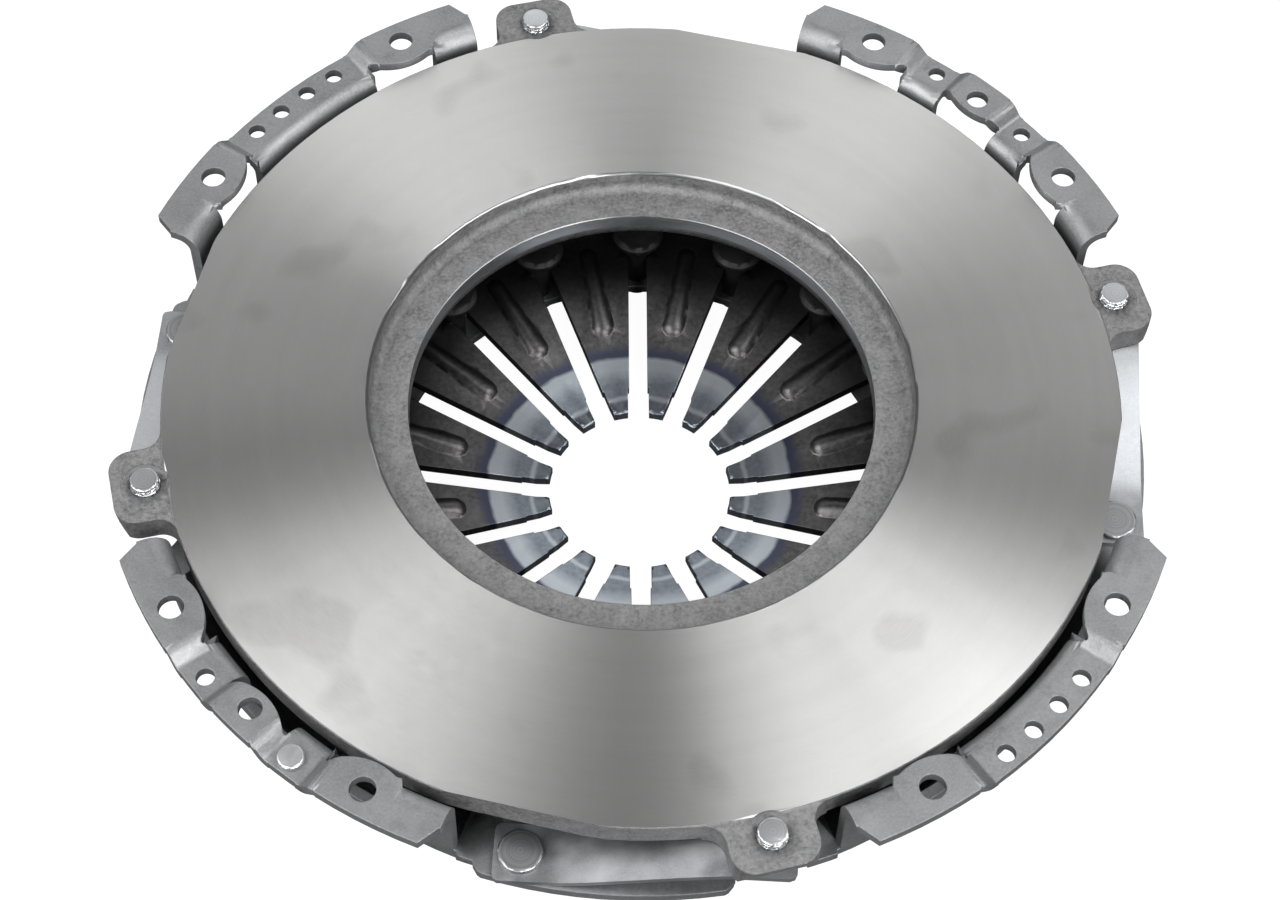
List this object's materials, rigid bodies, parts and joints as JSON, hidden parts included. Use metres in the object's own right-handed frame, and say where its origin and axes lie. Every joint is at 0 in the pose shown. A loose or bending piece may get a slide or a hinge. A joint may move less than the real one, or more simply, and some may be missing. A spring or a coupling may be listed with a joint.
{
  "type": "clutch pressure plate",
  "caption": "Clutch cover assembly with a pressed steel cover, diaphragm spring, leaf straps and a ground cast iron pressure plate.",
  "frame": {"origin": "centre of the flange bolt circle, in the plane of the flange pads that meet the flywheel", "axes": "+Z along the clutch axis towards the flywheel, so the friction face looks up; +X through the middle between two flange segments"},
  "size_m": [0.4366, 0.4366, 0.0936],
  "materials": {
    "cover_steel": "pickled and lightly oiled pressed steel, matt",
    "spring_steel": "dark tempered spring steel with an induction hardened band at the tips",
    "wire_steel": "drawn wire, dark",
    "rivet_dark": "plain steel",
    "rivet_steel": "turned steel",
    "rivet_zinc": "zinc plated",
    "cast_plate": "rough cast outside, ground on the friction face",
    "strap_steel": "rolled spring strip"
  },
  "bodies": {
    "cover": {"cover": "cover_steel", "diaphragm_spring": "spring_steel", "pivot_ring_front": "wire_steel", "pivot_ring_rear": "wire_steel", "pivot_rivets": "rivet_dark", "strap_rivets": "rivet_steel", "balance_rivet": "rivet_zinc", "strap_1_leaf_a": "strap_steel", "strap_1_leaf_b": "strap_steel", "strap_1_leaf_c": "strap_steel", "strap_2_leaf_a": "strap_steel", "strap_2_leaf_b": "strap_steel", "strap_2_leaf_c": "strap_steel", "strap_3_leaf_a": "strap_steel", "strap_3_leaf_b": "strap_steel", "strap_3_leaf_c": "strap_steel", "strap_4_leaf_a": "strap_steel", "strap_4_leaf_b": "strap_steel", "strap_4_leaf_c": "strap_steel"},
    "plate": {"pressure_plate": "cast_plate", "lug_rivets": "rivet_zinc"}
  },
  "joints": [
    {"name": "plate_travel", "type": "slide", "parent": "cover", "child": "plate", "axis": [0, 0, -1], "range_m": [0, 0.008], "stiffness_N_per_m": 1500000, "deforming": ["diaphragm_spring", "strap_1_leaf_a", "strap_1_leaf_b", "strap_1_leaf_c", "strap_2_leaf_a", "strap_2_leaf_b", "strap_2_leaf_c", "strap_3_leaf_a", "strap_3_leaf_b", "strap_3_leaf_c", "strap_4_leaf_a", "strap_4_leaf_b", "strap_4_leaf_c"]}
  ]
}
